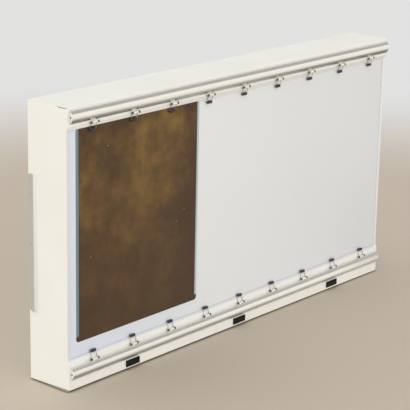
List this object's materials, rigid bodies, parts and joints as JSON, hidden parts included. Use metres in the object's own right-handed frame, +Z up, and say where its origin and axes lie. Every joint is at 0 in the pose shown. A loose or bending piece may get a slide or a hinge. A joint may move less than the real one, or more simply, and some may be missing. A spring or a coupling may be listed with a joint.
{
  "type": "x-ray film viewer",
  "caption": "Wide sheet-steel light box with an opal acrylic front, aluminium rails, sprung film clips above and below, rocker switches and one hanging film.",
  "frame": {"origin": "middle of the base, on the surface that the viewer stands on", "axes": "+X along the front to the right, +Y to the rear, +Z up"},
  "size_m": [1.053, 0.1174, 0.57],
  "materials": {
    "cream_enamel": "semi-gloss cream enamel",
    "white_enamel": "matt white enamel",
    "ballast_enamel": "dark stove enamel",
    "opal_acrylic": "opal white, satin gloss",
    "exposed_film": "dark brown emulsion on blue-tinted film",
    "anodised_aluminium": "satin anodised",
    "spring_steel": "nickel-plated wire",
    "zinc_steel": "zinc plated",
    "black_moulding": "black, low gloss",
    "white_moulding": "white moulded",
    "black_rubber": "smooth black rubber",
    "tube_glass": "phosphor-coated glass"
  },
  "bodies": {
    "case": {"top_panel": "cream_enamel", "bottom_panel": "cream_enamel", "left_end_panel": "cream_enamel", "right_end_panel": "cream_enamel", "back_panel": "cream_enamel", "back_screws": "zinc_steel", "diffuser": "opal_acrylic", "top_rail": "anodised_aluminium", "bottom_rail": "anodised_aluminium", "clip_pins": "zinc_steel", "left_grip_strip": "anodised_aluminium", "right_grip_strip": "anodised_aluminium", "grip_screws": "zinc_steel", "switch_housings": "black_moulding", "reflector_tray": "white_enamel", "lamp_tubes": "tube_glass", "lampholders": "white_moulding", "ballasts": "ballast_enamel", "starters": "white_moulding", "cord_grommet": "black_rubber"},
    "film": {"film_sheet": "exposed_film"},
    "left_rocker": {"left_rocker": "black_moulding"},
    "centre_rocker": {"centre_rocker": "black_moulding"},
    "right_rocker": {"right_rocker": "black_moulding"},
    "top_clip_1": {"top_clip_spring_1": "spring_steel", "top_clip_sleeve_1": "black_rubber"},
    "top_clip_2": {"top_clip_spring_2": "spring_steel", "top_clip_sleeve_2": "black_rubber"},
    "top_clip_3": {"top_clip_spring_3": "spring_steel", "top_clip_sleeve_3": "black_rubber"},
    "top_clip_4": {"top_clip_spring_4": "spring_steel", "top_clip_sleeve_4": "black_rubber"},
    "top_clip_5": {"top_clip_spring_5": "spring_steel", "top_clip_sleeve_5": "black_rubber"},
    "top_clip_6": {"top_clip_spring_6": "spring_steel", "top_clip_sleeve_6": "black_rubber"},
    "top_clip_7": {"top_clip_spring_7": "spring_steel", "top_clip_sleeve_7": "black_rubber"},
    "top_clip_8": {"top_clip_spring_8": "spring_steel", "top_clip_sleeve_8": "black_rubber"},
    "top_clip_9": {"top_clip_spring_9": "spring_steel", "top_clip_sleeve_9": "black_rubber"},
    "bottom_clip_1": {"bottom_clip_spring_1": "spring_steel", "bottom_clip_sleeve_1": "black_rubber"},
    "bottom_clip_2": {"bottom_clip_spring_2": "spring_steel", "bottom_clip_sleeve_2": "black_rubber"},
    "bottom_clip_3": {"bottom_clip_spring_3": "spring_steel", "bottom_clip_sleeve_3": "black_rubber"},
    "bottom_clip_4": {"bottom_clip_spring_4": "spring_steel", "bottom_clip_sleeve_4": "black_rubber"},
    "bottom_clip_5": {"bottom_clip_spring_5": "spring_steel", "bottom_clip_sleeve_5": "black_rubber"},
    "bottom_clip_6": {"bottom_clip_spring_6": "spring_steel", "bottom_clip_sleeve_6": "black_rubber"},
    "bottom_clip_7": {"bottom_clip_spring_7": "spring_steel", "bottom_clip_sleeve_7": "black_rubber"},
    "bottom_clip_8": {"bottom_clip_spring_8": "spring_steel", "bottom_clip_sleeve_8": "black_rubber"},
    "bottom_clip_9": {"bottom_clip_spring_9": "spring_steel", "bottom_clip_sleeve_9": "black_rubber"}
  },
  "joints": [
    {"name": "film_slide", "type": "slide", "parent": "case", "child": "film", "axis": [0, 0, -1], "range_m": [0, 0.025]},
    {"name": "left_switch", "type": "hinge", "parent": "case", "child": "left_rocker", "pos_m": [-0.3398, -0.04675, 0.0113], "axis": [0, 0, 1], "range_deg": [0, 14]},
    {"name": "centre_switch", "type": "hinge", "parent": "case", "child": "centre_rocker", "pos_m": [0, -0.04675, 0.0113], "axis": [0, 0, 1], "range_deg": [0, 14]},
    {"name": "right_switch", "type": "hinge", "parent": "case", "child": "right_rocker", "pos_m": [0.3398, -0.04675, 0.0113], "axis": [0, 0, 1], "range_deg": [0, 14]},
    {"name": "top_clip_1_lift", "type": "hinge", "parent": "case", "child": "top_clip_1", "pos_m": [-0.45307, -0.05385, 0.5334], "axis": [-1, 0, 0], "range_deg": [0, 60], "stiffness_Nm_per_rad": 0.03, "springref_deg": -8.59},
    {"name": "top_clip_2_lift", "type": "hinge", "parent": "case", "child": "top_clip_2", "pos_m": [-0.3398, -0.05385, 0.5334], "axis": [-1, 0, 0], "range_deg": [0, 60], "stiffness_Nm_per_rad": 0.03, "springref_deg": -8.59},
    {"name": "top_clip_3_lift", "type": "hinge", "parent": "case", "child": "top_clip_3", "pos_m": [-0.22653, -0.05385, 0.5334], "axis": [-1, 0, 0], "range_deg": [0, 60], "stiffness_Nm_per_rad": 0.03, "springref_deg": -8.59},
    {"name": "top_clip_4_lift", "type": "hinge", "parent": "case", "child": "top_clip_4", "pos_m": [-0.11327, -0.05385, 0.5334], "axis": [-1, 0, 0], "range_deg": [0, 60], "stiffness_Nm_per_rad": 0.03, "springref_deg": -8.59},
    {"name": "top_clip_5_lift", "type": "hinge", "parent": "case", "child": "top_clip_5", "pos_m": [0, -0.05385, 0.5334], "axis": [-1, 0, 0], "range_deg": [0, 60], "stiffness_Nm_per_rad": 0.03, "springref_deg": -8.59},
    {"name": "top_clip_6_lift", "type": "hinge", "parent": "case", "child": "top_clip_6", "pos_m": [0.11327, -0.05385, 0.5334], "axis": [-1, 0, 0], "range_deg": [0, 60], "stiffness_Nm_per_rad": 0.03, "springref_deg": -8.59},
    {"name": "top_clip_7_lift", "type": "hinge", "parent": "case", "child": "top_clip_7", "pos_m": [0.22653, -0.05385, 0.5334], "axis": [-1, 0, 0], "range_deg": [0, 60], "stiffness_Nm_per_rad": 0.03, "springref_deg": -8.59},
    {"name": "top_clip_8_lift", "type": "hinge", "parent": "case", "child": "top_clip_8", "pos_m": [0.3398, -0.05385, 0.5334], "axis": [-1, 0, 0], "range_deg": [0, 60], "stiffness_Nm_per_rad": 0.03, "springref_deg": -8.59},
    {"name": "top_clip_9_lift", "type": "hinge", "parent": "case", "child": "top_clip_9", "pos_m": [0.45307, -0.05385, 0.5334], "axis": [-1, 0, 0], "range_deg": [0, 60], "stiffness_Nm_per_rad": 0.03, "springref_deg": -8.59},
    {"name": "bottom_clip_1_lift", "type": "hinge", "parent": "case", "child": "bottom_clip_1", "pos_m": [-0.45307, -0.05385, 0.0519], "axis": [1, 0, 0], "range_deg": [0, 60], "stiffness_Nm_per_rad": 0.03, "springref_deg": -8.59},
    {"name": "bottom_clip_2_lift", "type": "hinge", "parent": "case", "child": "bottom_clip_2", "pos_m": [-0.3398, -0.05385, 0.0519], "axis": [1, 0, 0], "range_deg": [0, 60], "stiffness_Nm_per_rad": 0.03, "springref_deg": -8.59},
    {"name": "bottom_clip_3_lift", "type": "hinge", "parent": "case", "child": "bottom_clip_3", "pos_m": [-0.22653, -0.05385, 0.0519], "axis": [1, 0, 0], "range_deg": [0, 60], "stiffness_Nm_per_rad": 0.03, "springref_deg": -8.59},
    {"name": "bottom_clip_4_lift", "type": "hinge", "parent": "case", "child": "bottom_clip_4", "pos_m": [-0.11327, -0.05385, 0.0519], "axis": [1, 0, 0], "range_deg": [0, 60], "stiffness_Nm_per_rad": 0.03, "springref_deg": -8.59},
    {"name": "bottom_clip_5_lift", "type": "hinge", "parent": "case", "child": "bottom_clip_5", "pos_m": [0, -0.05385, 0.0519], "axis": [1, 0, 0], "range_deg": [0, 60], "stiffness_Nm_per_rad": 0.03, "springref_deg": -8.59},
    {"name": "bottom_clip_6_lift", "type": "hinge", "parent": "case", "child": "bottom_clip_6", "pos_m": [0.11327, -0.05385, 0.0519], "axis": [1, 0, 0], "range_deg": [0, 60], "stiffness_Nm_per_rad": 0.03, "springref_deg": -8.59},
    {"name": "bottom_clip_7_lift", "type": "hinge", "parent": "case", "child": "bottom_clip_7", "pos_m": [0.22653, -0.05385, 0.0519], "axis": [1, 0, 0], "range_deg": [0, 60], "stiffness_Nm_per_rad": 0.03, "springref_deg": -8.59},
    {"name": "bottom_clip_8_lift", "type": "hinge", "parent": "case", "child": "bottom_clip_8", "pos_m": [0.3398, -0.05385, 0.0519], "axis": [1, 0, 0], "range_deg": [0, 60], "stiffness_Nm_per_rad": 0.03, "springref_deg": -8.59},
    {"name": "bottom_clip_9_lift", "type": "hinge", "parent": "case", "child": "bottom_clip_9", "pos_m": [0.45307, -0.05385, 0.0519], "axis": [1, 0, 0], "range_deg": [0, 60], "stiffness_Nm_per_rad": 0.03, "springref_deg": -8.59}
  ]
}
